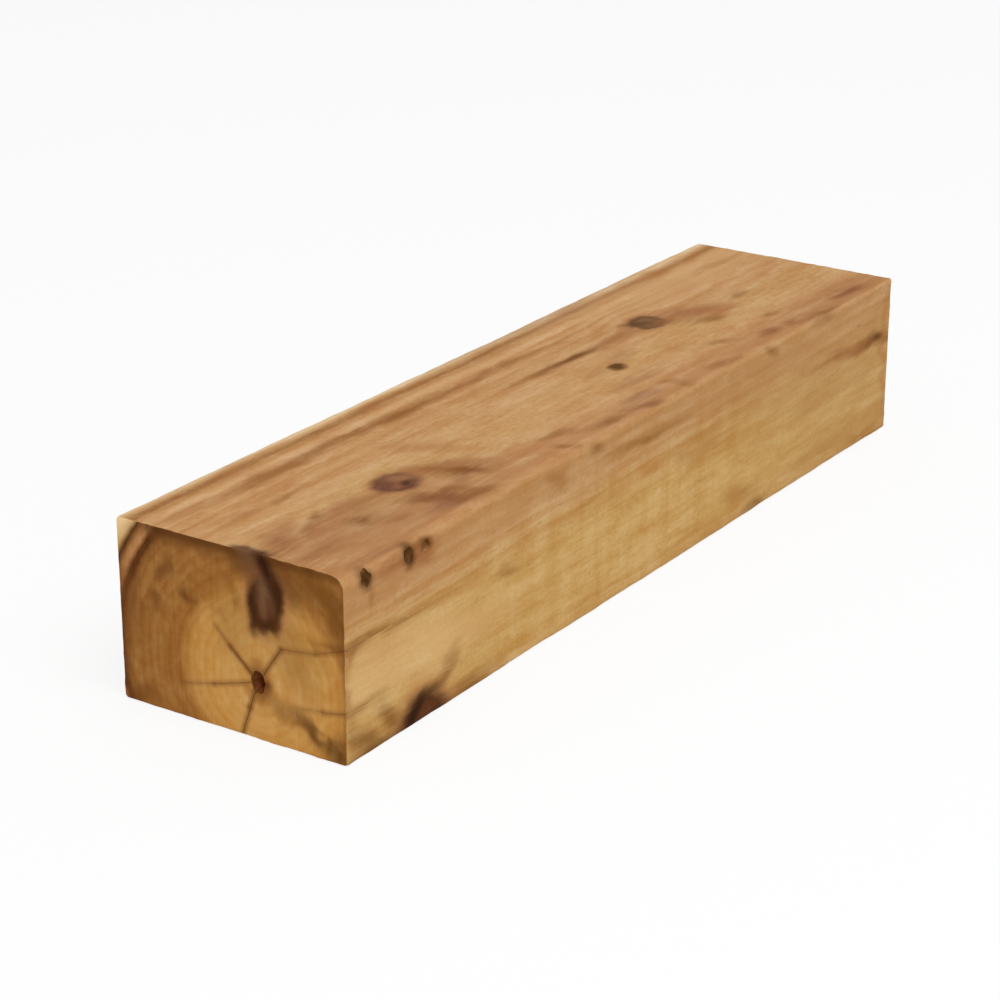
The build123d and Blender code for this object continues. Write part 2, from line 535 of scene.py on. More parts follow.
CRACK_EDGE = (134, 86, 40)
DRIED_PITH = (150, 86, 48)
# Colour of the darker top and right rims of the ends
RIM_DARK = (92, 52, 18)
REDDENED = (176, 116, 74)
FLECK = (128, 82, 42)
GOLDEN = (247, 247, 245)

# Knots: where each leaves the pith, where it comes out, its radius there, its stretch along the grain,
# how soft its edge is, its heartwood and its rim
KNOTS = [
    ((76, -12.4, 23), (82.8, -13.9, 73), 8.0, 1.18, 0.4, (138, 90, 62), (88, 50, 34)),
    ((288, -5.0, 23), (300.5, 7.8, 73), 7.0, 1.18, 0.4, (130, 94, 60), (86, 55, 32)),
    ((238, -8.0, 23), (242.8, -12.4, 73), 2.9, 1.1, 0.9, (92, 60, 24), (128, 90, 48)),
    ((37, -12.4, 23), (-7.4, -17.4, 60.2), 8.0, 1.0, 0.4, (108, 68, 42), (64, 32, 10)),
    ((26, -12.4, 23), (47.5, -51.5, -2.5), 11.2, 1.15, 0.55, (98, 56, 28), (50, 24, 6)),
]
# Stains on each face: the two ends of each, its radius, colour and strength
STAINS = {
    "top": [
        ((-150, -46, 73), (600, -46, 73), 15.0, (174, 121, 78), 0.5),
        ((340, -46, 73), (440, -46, 73), 17.0, (166, 114, 74), 0.4),
        ((5, -27, 73), (104, -30, 73), 22.0, (160, 110, 72), 0.5),
        ((330, 26, 73), (430, 30, 73), 20.0, (210, 166, 116), 0.6),
        ((255, 41, 73), (352, 41, 73), 3.4, (197, 152, 105), 0.75),
        ((215, 48.6, 73), (350, 48.6, 73), 5.0, (180, 136, 96), 0.7),
        ((4, 32, 73), (44, 31, 73), 4.0, (162, 108, 62), 0.6),
        ((40, 30.5, 73), (100, 30.8, 73), 4.6, (146, 94, 48), 0.85),
        ((96, 31, 73), (178, 29, 73), 4.6, (142, 90, 44), 0.9),
        ((174, 28, 73), (250, 26.4, 73), 3.8, (150, 98, 54), 0.75),
        ((356, 42.5, 73), (372, 42, 73), 4.0, (166, 108, 58), 0.7),
        ((386, 41, 73), (416, 41, 73), 3.6, (162, 104, 54), 0.75),
        ((372, 27, 73), (416, 26, 73), 3.4, (170, 118, 70), 0.6),
        ((96, -14, 73), (111, -26, 73), 9.5, (148, 96, 56), 0.9),
        ((106, -26, 73), (110, -29, 73), 4.4, (120, 74, 36), 0.9),
        ((75, -30, 73), (82, -39, 73), 7.6, (128, 80, 44), 0.9),
        ((82, -36, 73), (98, -33, 73), 5.0, (138, 88, 50), 0.85),
        ((71, -41, 73), (84, -43, 73), 6.0, (148, 98, 68), 0.8),
        ((84, -42, 73), (97, -46, 73), 6.0, (144, 94, 50), 0.85),
        ((55, -17, 73), (72, -14, 73), 5.0, (152, 100, 60), 0.75),
        ((4, -20, 73), (22, -9, 73), 8.0, (152, 96, 62), 0.8),
        ((27, -16.5, 73), (41, -8, 73), 3.8, (138, 88, 48), 0.85),
        ((40, -16, 73), (58, -10, 73), 6.0, (162, 110, 70), 0.7),
        ((42, -24.5, 73), (49, -27, 73), 4.4, (130, 82, 40), 0.9),
        ((20, -24, 73), (40, -15, 73), 7.0, (162, 108, 72), 0.6),
        ((2, -30, 73), (24, -32, 73), 4.4, (152, 98, 60), 0.7),
        ((0, -47, 73), (44, -50, 73), 4.6, (146, 96, 58), 0.65),
        ((50, -33, 73), (58, -36, 73), 4.0, (156, 104, 64), 0.6),
        ((40, 11, 73), (59, 10.4, 73), 2.6, (146, 96, 50), 0.75),
        ((20, 13, 73), (34, 12, 73), 2.4, (160, 110, 62), 0.6),
        ((0, -3, 73), (1, -16, 73), 4.2, (92, 60, 46), 0.95),
        ((114, 8, 73), (124, -8, 73), 7.0, (174, 122, 74), 0.65),
        ((312, 6, 73), (332, -4, 73), 11.0, (160, 106, 66), 0.9),
        ((312, -8, 73), (324, -13, 73), 5.0, (144, 100, 52), 0.8),
        ((258, 8, 73), (292, 8, 73), 5.0, (154, 102, 60), 0.8),
        ((353, -5.5, 73), (362, -6, 73), 3.0, (142, 96, 52), 0.8),
        ((205, 10, 73), (234, 9, 73), 3.2, (148, 100, 56), 0.75),
        ((246, -10, 73), (258, -6, 73), 6.5, (170, 124, 82), 0.65),
        ((228, -10, 73), (239, -14, 73), 5.0, (176, 132, 90), 0.6),
        ((157, -34, 73), (166, -38, 73), 5.0, (154, 104, 62), 0.75),
        ((147, -44, 73), (151, -47, 73), 3.2, (146, 96, 52), 0.75),
        ((177, -44, 73), (191, -46, 73), 4.6, (142, 94, 52), 0.8),
        ((211, -38, 73), (222, -41, 73), 5.0, (148, 102, 74), 0.75),
        ((202, -45, 73), (215, -48, 73), 5.0, (142, 94, 60), 0.8),
        ((216, -27, 73), (250, -28, 73), 3.6, (164, 114, 72), 0.7),
        ((236, -40, 73), (242, -46, 73), 4.4, (152, 104, 60), 0.7),
        ((266, -46, 73), (278, -49, 73), 5.4, (154, 98, 56), 0.7),
        ((292, -30, 73), (300, -35, 73), 4.4, (156, 108, 64), 0.7),
        ((313, -41.5, 73), (321, -43, 73), 3.4, (144, 92, 60), 0.8),
        ((334, -44, 73), (341, -46, 73), 3.4, (146, 96, 56), 0.8),
        ((338, -29, 73), (346, -30, 73), 3.0, (150, 102, 56), 0.7),
        ((348, -49, 73), (366, -51, 73), 4.4, (132, 86, 46), 0.85),
        ((374, -41, 73), (382, -43, 73), 3.4, (150, 100, 60), 0.7),
        ((385, -42, 73), (399, -45, 73), 4.6, (138, 86, 52), 0.85),
    ],
    "side": [
        ((40, -51.5, 66), (330, -51.5, 67), 15.0, (172, 126, 76), 0.5),
        ((-30, -51.5, 62), (60, -51.5, 61), 12.0, (172, 124, 78), 0.5),
        ((310, -51.5, 50), (420, -51.5, 40), 30.0, (176, 132, 84), 0.5),
        ((-40, -51.5, 30), (80, -51.5, 28), 14.0, (216, 176, 122), 0.55),
        ((26, -52, 68), (36, -52, 67), 5.4, (156, 100, 60), 0.85),
        ((40, -52, 67), (50, -52, 66), 5.4, (150, 94, 52), 0.85),
        ((132, -51.5, 68), (142, -51.5, 62), 5.0, (160, 110, 60), 0.75),
        ((160, -51.5, 70), (166, -51.5, 67), 4.0, (142, 94, 48), 0.85),
        ((181, -51.5, 62.5), (232, -51.5, 60), 2.9, (152, 106, 54), 0.7),
        ((194, -51.5, 61.5), (210, -51.5, 60.5), 2.6, (140, 94, 44), 0.6),
        ((203, -51.5, 50), (215, -51.5, 46), 5.0, (174, 116, 58), 0.75),
        ((231, -51.5, 48), (262, -51.5, 41), 8.0, (170, 118, 62), 0.7),
        ((270, -51.5, 14), (290, -51.5, 10), 5.4, (166, 120, 64), 0.65),
        ((302, -52, 70.5), (309, -52, 68), 4.4, (136, 88, 40), 0.85),
        ((341, -52, 72), (356, -52, 70), 4.0, (140, 92, 52), 0.75),
        ((97, -51.5, 41), (104, -51.5, 39.5), 3.0, (156, 112, 58), 0.75),
        ((350, -51.5, 50), (404, -51.5, 46.6), 3.8, (152, 96, 54), 0.85),
        ((393, -51.5, 48.4), (403, -51.5, 46.6), 3.2, (134, 86, 42), 0.8),
        ((406, -51.5, 48), (419, -51.5, 45), 4.0, (100, 62, 22), 0.95),
        ((416, -51.5, 70), (416, -51.5, 10), 5.0, (170, 116, 64), 0.65),
        ((-60, -51.5, 44), (60, -51.5, 45), 4.2, (168, 120, 66), 0.55),
        ((-46, -51.5, 43.4), (46, -51.5, 44.8), 2.2, (132, 86, 40), 0.75),
        ((-36, -51.5, 18.6), (36, -51.5, 20.4), 2.0, (140, 94, 46), 0.65),
        ((0, -51.5, 50), (3, -51.5, 10), 4.4, (164, 114, 64), 0.65),
        ((320, -51.5, 9), (450, -51.5, 9), 11.0, (174, 130, 76), 0.45),
        ((56, -51.5, 9), (64, -51.5, 18), 6.0, (146, 100, 52), 0.75),
        ((60, -51.5, 1.5), (90, -51.5, 2.5), 4.6, (136, 88, 38), 0.8),
        ((24, -51.5, 12), (33, -51.5, 3), 7.0, (124, 82, 34), 0.8),
        ((5, -51.5, 8), (15, -51.5, 3), 5.4, (128, 88, 40), 0.8),
        ((-40, -51.5, 0), (60, -51.5, 0), 3.2, (108, 70, 28), 0.8),
        ((288, -51.5, 2), (302, -51.5, 1), 3.4, (116, 76, 32), 0.7),
        ((388, -51.5, 4), (414, -51.5, 2), 4.4, (160, 108, 50), 0.65),
    ],
    "end": [
        ((0, -24, 48), (0, -32, 30), 12.0, (158, 114, 58), 0.55),
        ((0, 28, 61), (0, 33, 48), 3.6, (116, 70, 30), 0.7),
        ((0, 33, 50), (0, 37, 40), 3.6, (124, 76, 34), 0.6),
        ((0, 46, 48), (0, 44, 32), 7.0, (126, 78, 36), 0.55),
        ((0, -2, 50), (0, -2, 40), 12.0, (160, 114, 56), 0.5),
        ((0, -20, 17), (0, -34, 11), 5.4, (130, 84, 36), 0.65),
        ((0, -33, 11), (0, -42, 7), 5.4, (106, 64, 24), 0.85),
        ((0, -40, 9), (0, -43, 3), 4.8, (86, 50, 16), 0.9),
        ((0, -48.5, 8), (0, -49.5, 2), 4.4, (90, 54, 20), 0.9),
        ((0, 19, 50.4), (0, 17, 48.8), 3.4, (108, 64, 22), 0.9),
        ((0, -2.2, 57), (0, -3.4, 50), 2.4, (138, 92, 40), 0.65),
        ((0, 5.6, 46.4), (0, 3.6, 44.6), 2.2, (140, 94, 42), 0.6),
        ((0, -43, 44.6), (0, -53, 46), 2.8, (118, 70, 24), 0.75),
        ((0, -3, 71), (0, -9, 64), 6.5, (110, 68, 28), 0.85),
        ((0, -16, 70), (0, -24, 64), 7.0, (100, 60, 24), 0.8),
        ((0, -22, 70), (0, -28, 60), 6.5, (114, 70, 26), 0.8),
        ((0, -30, 70), (0, -46, 62), 8.0, (116, 70, 22), 0.75),
        ((0, -46, 62), (0, -51, 46), 5.4, (116, 70, 22), 0.75),
        ((0, -33, 54), (0, -41, 38), 3.0, (144, 96, 44), 0.55),
        # Darker along the top rim of the end
        ((0, 4, 72), (0, 34, 70.5), 5.4, (112, 68, 28), 0.8),
        ((0, 50.5, 55), (0, 50.5, 4), 3.8, (116, 70, 28), 0.75),
        ((0, 47, 1), (0, 40, 5), 7.0, (126, 76, 30), 0.7),
        ((0, -12.8, 18.6), (0, -12.8, 27), 5.8, (104, 54, 22), 0.95),
    ],
}
# Marks over the knots, and painted shade inside the chips, on whichever way the wood faces there
KNOT_MARKS_AND_CHIP_SHADE = [
    ((0, -6.5, 73.5), (0, -13, 70.5), 4.0, (124, 88, 60), 0.7),
    ((0, -8, 71), (0, -11.5, 65.5), 4.6, (110, 72, 44), 0.65),
    ((0, -16.4, 64), (0, -16, 55), 3.6, (112, 80, 60), 0.55),
    ((0, -16, 52), (0, -15.6, 45), 5.0, (88, 46, 22), 0.6),
    ((0, -16, 62), (0, -15.6, 49), 2.2, (132, 92, 62), 0.6),
    ((0, -14.2, 73), (0, -19.8, 64), 4.6, (52, 22, 6), 0.95),
    ((0, -10.4, 57), (0, -11.6, 47), 3.2, (64, 34, 10), 0.8),
    ((0, -22.4, 64), (0, -22.8, 54), 3.2, (64, 34, 10), 0.85),
    ((0, -13.6, 46), (0, -19.6, 46.5), 3.0, (66, 34, 10), 0.8),
    ((0, -11, 47), (0, -10.8, 43), 2.8, (70, 36, 12), 0.85),
    ((0, -20.4, 49), (0, -21, 45), 2.8, (78, 44, 14), 0.8),
    ((75, -14, 73), (84, -9, 73), 4.2, (106, 64, 46), 0.75),
    ((86, -11, 73), (91, -14, 73), 4.0, (160, 116, 78), 0.65),
    ((83.5, -17.5, 73), (85.5, -17, 73), 2.8, (74, 42, 24), 0.95),
    ((90, -24, 73), (94, -31, 73), 4.4, (196, 148, 106), 0.45),
    ((101, -15, 73), (110, -31, 73), 4.4, (150, 96, 54), 0.7),
    ((107, -24, 73), (111, -32, 73), 2.8, (126, 76, 38), 0.7),
    ((78, -29, 73), (83, -42, 73), 4.6, (134, 84, 50), 0.65),
    ((91, -35, 73), (96, -46, 73), 3.8, (148, 96, 54), 0.6),
    ((205, 10.4, 73), (256, 8, 73), 2.8, (146, 98, 54), 0.7),
    ((230, 9.2, 73), (254, 7.9, 73), 2.3, (106, 66, 28), 0.85),
    ((292, 13, 73), (299, 8, 73), 4.4, (90, 58, 34), 0.8),
    ((303, 3, 73), (309, 1, 73), 4.6, (146, 94, 54), 0.75),
    ((37, -51.5, 1), (45, -51.5, 9), 3.8, (40, 18, 2), 0.9),
    ((43, -51.5, 9.5), (56, -51.5, 10.6), 2.8, (60, 32, 8), 0.7),
    # Painted shade inside the first two chips
    ((12.6, -51.5, 69), (14.0, -51.5, 66.6), 4.4, (48, 28, 2), 1.0),
    ((38.2, -51.5, 69), (39.4, -51.5, 66.6), 4.4, (56, 30, 2), 1.0),
    ((41.5, -51.5, 69.8), (48.5, -51.5, 69.4), 2.4, (132, 82, 40), 0.65),
    # Painted shade inside the third chip
    ((48.6, -51.5, 69.2), (50.8, -51.5, 68.2), 3.2, (96, 55, 18), 1.0),
    ((15.6, -51.5, 63), (16.4, -51.5, 58), 2.2, (150, 104, 54), 0.7),
]
STAIN_TAPER = 0.7
STAIN_EDGE = (1.25, 0.15)
CHECK_STAIN_REACH = 2.3
CHECK_STAIN_STRENGTH = 1.3

# Inside a split the colour darkens to painted shade over these depths from the skin, which is round at its
# corners; in the heart it turns to the dried pith's own colour instead
CORNER_DEPTH = 8.0
INSIDE_DEPTHS = (0.7, 2.6)
PITH_REACH = (6.5, 4.0)

# Darker rims on the ends: how far the darkening comes in from the top and from the right, and where it
# stops on the left
RIM_DARK_FROM_TOP = (HEIGHT - 5, HEIGHT - 1)
RIM_DARK_FROM_RIGHT = (RIGHT_FACE + 3, RIGHT_FACE)
RIM_DARK_STOP = (42, 36)
TOP_RIM_DARK = 0.7
RIGHT_RIM_DARK = 0.4


def linear(rgb):
    """A colour given as sRGB bytes, in the linear values that shaders take."""
    shares = [channel / 255 for channel in rgb]
    return [s / 12.92 if s <= 0.04045 else ((s + 0.055) / 1.055) ** 2.4 for s in shares] + [1.0]


class Field:
    """A socket of a node tree, with arithmetic that adds the nodes for it."""

    def __init__(self, socket):
        self.socket = socket
        self.tree = socket.id_data

    def node(self, kind, *values, **settings):
        """A new node with these values in its sockets, in their order."""
        made = self.tree.nodes.new(kind)
        for name, value in settings.items():
            setattr(made, name, value)
        for socket, value in zip([s for s in made.inputs if s.enabled], values):
            if isinstance(value, Field):
                self.tree.links.new(value.socket, socket)
            else:
                socket.default_value = value
        return made

    def made(self, kind, *values, **settings):
        """The first output in use of such a node, with this as its first value."""
        node = self.node(kind, self, *values, **settings)
        return Field(next(s for s in node.outputs if s.enabled))

    def math(self, operation, *others):
        return self.made("ShaderNodeMath", *others, operation=operation)

    def vector(self, operation, *others):
        return self.made("ShaderNodeVectorMath", *others, operation=operation)

    def __add__(self, other):
        return self.math("ADD", other)

    def __sub__(self, other):
        return self.math("SUBTRACT", other)

    def __mul__(self, other):
        return self.math("MULTIPLY", other)

    def __truediv__(self, other):
        return self.math("DIVIDE", other)

    def between(self, nought, one):
        """nought where this is 0 and one where it is 1, straight between."""
        return self.math("MULTIPLY_ADD", one - nought, nought)

    def parts(self):
        """This vector's three parts."""
        return [Field(socket) for socket in self.node("ShaderNodeSeparateXYZ", self).outputs]

    def combined(self, *parts):
        """A vector of these three parts."""
        return Field(self.node("ShaderNodeCombineXYZ", *parts).outputs[0])

    def ramp(self, nought, one):
        """0 up to nought and 1 from one on, smooth between; nought may be the larger."""
        return self.made("ShaderNodeMapRange", nought, one, interpolation_type="SMOOTHSTEP")

    def noise(self, wavelengths, seed, detail=2.0):
        """Smooth noise at this place, from about -1 to 1, with a wavelength along each axis."""
        shrunk = self.vector("MULTIPLY_ADD", [1 / w for w in wavelengths], [seed, seed * 1.7, seed * 2.3])
        texture = self.node("ShaderNodeTexNoise", shrunk, 1.0, detail)
        return Field(texture.outputs["Fac"]).math("MULTIPLY_ADD", 3.0, -1.5)

    def loosened(self, wavelengths, amounts, seed):
        """This place, moved about by noise of these wavelengths along each axis."""
        shrunk = self.vector("MULTIPLY_ADD", [1 / w for w in wavelengths], [seed] * 3)
        texture = self.node("ShaderNodeTexNoise", shrunk, 1.0, 3.0)
        shift = Field(texture.outputs["Color"]).vector("SUBTRACT", [0.5] * 3)
        return shift.vector("MULTIPLY_ADD", amounts, self)

    def blend(self, colour, other, blend_type="MIX"):
        """colour where this is 0 and other where it is 1."""
        return self.made("ShaderNodeMix", colour, other, data_type="RGBA", blend_type=blend_type)

    def under(self, layer, strength):
        """This colour under a layer of stains that the mesh holds."""
        added = Field(self.node("ShaderNodeAttribute", attribute_name=layer + "_added").outputs["Vector"])
        covered = Field(self.node("ShaderNodeAttribute", attribute_name=layer + "_covered").outputs["Fac"])
        faded = (covered * strength).blend(self, (0, 0, 0, 1))
        return added.vector("SCALE", strength).vector("ADD", faded)

    def near(self, start, stop, reach):
        """1 on the line between two points, fading to 0 at this reach from it."""
        span = np.subtract(stop, start)
        away = self.vector("SUBTRACT", start)
        share = away.vector("DOT_PRODUCT", span / span.dot(span))
        share = share.math("MINIMUM", 1.0).math("MAXIMUM", 0.0)
        nearest = self.node("ShaderNodeVectorMath", span, share, operation="SCALE")
        return away.vector("SUBTRACT", Field(nearest.outputs[0])).vector("LENGTH").ramp(reach, 0.0)

    def colours(self, stops):
        """The colour at this distance."""
        node = self.node("ShaderNodeValToRGB", self / RAMP_REACH)
        elements = node.color_ramp.elements
        for index, (distance, rgb) in enumerate(stops):
            element = elements[index] if index < 2 else elements.new(distance / RAMP_REACH)
            element.position = distance / RAMP_REACH
            element.color = linear(rgb)
        return Field(node.outputs["Color"])


def knot_reach(place, start, stop, radius, stretch):
    """Distance from a knot's middle line over its radius there, and how far it has grown there, 0 to 1."""
    squeeze = (1 / stretch, 1, 1)
    start, stop = np.multiply(start, squeeze), np.multiply(stop, squeeze)
    length = math.dist(start, stop)
    direction = (stop - start) / length
    away = place.vector("MULTIPLY", squeeze).vector("SUBTRACT", start)
    along = away.vector("DOT_PRODUCT", direction)
    beside = away.vector("CROSS_PRODUCT", direction).vector("LENGTH")
    growing = (1 - KNOT_START_SHARE) * radius / length
    size = along.math("MULTIPLY_ADD", growing, KNOT_START_SHARE * radius)
    return beside / size.math("MAXIMUM", KNOT_LEAST_SHARE * radius), along.ramp(*KNOT_GROWN)


def smooth_step(values, nought, one):
    """0 up to nought and 1 from one on, smooth between; nought may be the larger."""
    share = np.clip((values - nought) / (one - nought), 0, 1)
    return share * share * (3 - 2 * share)


def stain_mask(points, start, stop, radius):
    """1 on the line between two points, fading to 0 at about the radius, and tapered to its tips."""
    span = np.subtract(stop, start)
    length = np.linalg.norm(span)
    squeeze = 1 - radius / (length / (2 * STAIN_TAPER) + radius)
    away = points - np.add(start, stop) / 2
    beside = away - np.outer(away @ span, span * squeeze / length ** 2)
    return smooth_step(np.linalg.norm(beside, axis=1) / radius, *STAIN_EDGE)


def lay_stains(points, stains):
    """What these stains add at each point, each over those before it, and the share they cover there."""
    added, covered = np.zeros((len(points), 3)), np.zeros(len(points))
    for start, stop, radius, rgb, strength in stains:
        mask = strength * stain_mask(points, start, stop, radius)
        added += mask[:, None] * (np.array(linear(rgb)[:3]) - added)
        covered += mask * (1 - covered)
    return added, covered


def check_stains():
    """The two ends and the strength of a stain along each stretch of the foot end's checks."""
    for stations in FOOT_CHECKS.values():
        points = [(0.0, HEART_Y + across, HEART_Z + up) for across, up, *_ in stations]
        widths = [width for *_, width, _ in stations]
        for index in range(len(stations) - 1):
            mean_width = (widths[index] + widths[index + 1]) / 2
            yield points[index], points[index + 1], CHECK_STAIN_STRENGTH * mean_width


def hold_stains(mesh):
    """Keeps the stains of each face, and the knot marks and painted chip shade that lie over all, at the
    points of the mesh.
    """
    points, normals = points_and_normals(mesh)
    facing = np.abs(normals)
    on_end = smooth_step(facing[:, 0], *END_FACING)
    on_side = smooth_step(facing[:, 1], *SIDE_FACING) * (1 - on_end)
    shares = {"top": 1 - on_end - on_side, "side": on_side, "end": on_end}
    blotched = loosened(loosened(points, *STAIN_WARP), *STAIN_FRAY)
    mark_and_shade_places = loosened(points, *MARK_AND_SHADE_FRAY)
    stain_added, stain_covered = 0, 0
    for face, share in shares.items():
        added, covered = lay_stains(blotched, STAINS[face])
        stain_added = stain_added + added * share[:, None]
        stain_covered = stain_covered + covered * share
    layers = {"stain": (stain_added, stain_covered), "mark": lay_stains(mark_and_shade_places, KNOT_MARKS_AND_CHIP_SHADE)}
    for layer, (added, covered) in layers.items():
        colours = mesh.attributes.new(layer + "_added", "FLOAT_VECTOR", "POINT")
        colours.data.foreach_set("vector", added.ravel())
        cover = mesh.attributes.new(layer + "_covered", "FLOAT", "POINT")
        cover.data.foreach_set("value", covered)


def surroundings(tree):
    """Where a point of the wood is and which way it faces."""
    coordinates = tree.nodes.new("ShaderNodeTexCoord")
    place = Field(coordinates.outputs["Object"]).vector("MULTIPLY_ADD", [1 / MM] * 3, ROW_ORIGIN)
    x, y, z = place.parts()
    normal = Field(coordinates.outputs["Normal"])
    facing = [part.math("ABSOLUTE") for part in normal.parts()]
    on_end = facing[0].ramp(*END_FACING)
    return SimpleNamespace(
        place=place, x=x, y=y, z=z, normal=normal, rough=place.loosened(*ROUGH),
        on_end=on_end, off_end=on_end.between(1.0, 0.0), on_side=facing[1].ramp(*SIDE_FACING),
    )


def growth(here):
    """Rings about the pith, pushed outwards where a knot passes through them."""
    place = here.place
    drift = here.x.ramp(*PITH_DRIFT_SPAN) * PITH_DRIFT + place.noise(*PITH_SWAY) * PITH_SWAY_SIZE
    outwards = place.combined(0.0, here.y - HEART_Y - drift, here.z - HEART_Z)
    warp = place.noise(*RING_WAVES) * RING_WAVE_SIZE + place.noise(*RING_JITTER) * RING_JITTER_SIZE
    knots = []
    for start, stop, radius, stretch, softness, heart, rim in KNOTS:
        reach, grown = knot_reach(here.rough, start, stop, radius, stretch)
        knots.append((reach, grown, softness, heart, rim))
        warp = warp - reach.ramp(*KNOT_PUSH_REACH) * grown * KNOT_PUSH
    distance = outwards.vector("LENGTH") + warp
    end_distance = outwards.vector("SUBTRACT", (0, END_CENTRE_SHIFT, 0)).vector("LENGTH") + warp
    uneven = place.combined(distance, 0.0, 0.0).noise(*RING_SPACING)
    ring = (distance / RING_WIDTH + uneven * RING_CROWDING).math("FRACT")
    slope = outwards.vector("NORMALIZE").vector("DOT_PRODUCT", here.normal).math("ABSOLUTE")
    flat_sawn = slope.ramp(*FLAT_SAWN).between(1.0, FLAT_SAWN_SHARE)
    late = ring.ramp(*LATE_WOOD) * ring.ramp(*RING_STOP) * flat_sawn
    colour = here.on_end.blend(distance.colours(ALONG_GRAIN), end_distance.colours(ON_END))
    return SimpleNamespace(outwards=outwards, uneven=uneven, late=late, knots=knots, colour=colour)


def grain_patterns(here, late):
    """Strands, fibres, blotches and saw marks, each as a field of its own."""
    place = here.place
    swayed = place.loosened(*SWAYED)
    loose = here.rough.loosened(*LOOSE)
    band = place.noise(*SAW_BANDS) * here.on_side
    for span in SAW_BAND_SPAN:
        band = band * here.x.ramp(*span)
    return {
        "strand": swayed.noise(*STRANDS),
        "fibre": swayed.noise(*FIBRES),
        "fine_fibre": place.noise(*FINE_FIBRES),
        "grit": place.noise(*GRIT) * here.off_end,
        "mottle": loose.noise(*MOTTLING),
        "figure": loose.noise(*FIGURE),
        "fleck": place.noise(*FLECKS).ramp(*FLECK_EDGE),
        "stroke": place.noise(*SAW_STROKES) * here.on_end,
        "band": band,
        "saw_line": place.noise(*SAW_LINES) * here.off_end,
        "late": late,
    }


def weighed(patterns, weights):
    """The sum of these patterns, each times its weight."""
    first, *others = [patterns[name] * weight for name, weight in weights.items()]
    return sum(others, start=first)


def sawn_colour(here, rings, grain):
    """The colour of clean sawn wood, deepened by its patterns and reddened in blotches."""
    fibrous = weighed(grain, FIBRE_TONES) * here.on_end.between(1.0, FIBRE_TONES_ON_END)
    ringed = rings.late * here.on_end.between(RING_TONE, RING_TONE_ON_END)
    ringed = ringed + rings.uneven * here.on_end * UNEVEN_TONE_ON_END
    tone = fibrous + grain["grit"] * GRIT_TONE + ringed + weighed(grain, MARK_TONES) + PLAIN_TONE
    colour = rings.colour.made("ShaderNodeGamma", tone)
    reddened = grain["mottle"].ramp(*REDDENING) * here.off_end * here.on_side.between(*REDDENING_SHARES)
    colour = reddened.blend(colour, linear(REDDENED))
    colour = (grain["fleck"] * here.off_end * FLECK_STRENGTH).blend(colour, linear(FLECK))
    return (here.on_side * here.off_end).blend(colour, linear(GOLDEN), "MULTIPLY")


def stained(colour, here, grain):
    """This colour under the stains of the faces and those beside the checks."""
    patches = (grain["figure"] + grain["strand"]).ramp(*STAIN_PATCHES).between(*STAIN_PATCH_SHARES)
    colour = colour.under("stain", patches * here.off_end + here.on_end * STAIN_SHARE_ON_END)
    for start, stop, strength in check_stains():
        beside = here.place.near(start, stop, CHECK_STAIN_REACH) * strength
        colour = beside.blend(colour, linear(CRACK_EDGE))
    return colour


def knotted(colour, knots, grain):
    """This colour with the knots in it: reddened round each, with its own rings and a dark rim."""
    for reach, grown, softness, heart, rim in knots:
        colour = (reach.ramp(*KNOT_HALO) * grown * KNOT_HALO_STRENGTH).blend(colour, linear(REDDENED))
        years = reach * KNOT_YEARS + grain["fine_fibre"] * KNOT_YEAR_WAVER
        late = years.math("FRACT").ramp(*KNOT_LATE_WOOD)
        darkness = late * KNOT_YEAR_TONE + reach.ramp(*KNOT_RIM) * KNOT_RIM_TONE
        darkness = darkness + grain["figure"] * KNOT_FIGURE_TONE
        body = darkness.blend(linear(heart), linear(rim))
        colour = (reach.ramp(1 + softness, 1 - softness / 2) * grown).blend(colour, body)
    return colour


def rims_shade_and_marks(colour, here, outwards):
    """This colour, darker at the top and right rims of the ends, with painted shade deep inside the
    splits, and under the knot marks and the painted shade in the chips.
    """
    x, y, z = here.x, here.y, here.z
    beyond = [
        (y.math("ABSOLUTE") - (WIDTH / 2 - CORNER_DEPTH)).math("MAXIMUM", 0.0),
        ((z - HEIGHT / 2).math("ABSOLUTE") - (HEIGHT / 2 - CORNER_DEPTH)).math("MAXIMUM", 0.0),
    ]
    outer = here.place.combined(0.0, *beyond).vector("LENGTH")
    from_end = x.math("MINIMUM", x * -1.0 + LENGTH)
    depth = outer.math("MULTIPLY_ADD", -1.0, CORNER_DEPTH).math("MINIMUM", from_end)
    # The ends darken towards their top and right rims
    darker_rims = z.ramp(*RIM_DARK_FROM_TOP) * TOP_RIM_DARK + y.ramp(*RIM_DARK_FROM_RIGHT) * RIGHT_RIM_DARK
    colour = (darker_rims * here.on_end * y.ramp(*RIM_DARK_STOP)).blend(colour, linear(RIM_DARK))
    # The splits darken with depth to painted shade; in the heart the colour is the dried pith's own
    inside = outwards.vector("LENGTH").ramp(*PITH_REACH).blend(linear(CRACK_SHADE), linear(DRIED_PITH))
    return depth.ramp(*INSIDE_DEPTHS).blend(colour, inside).under("mark", 1.0)


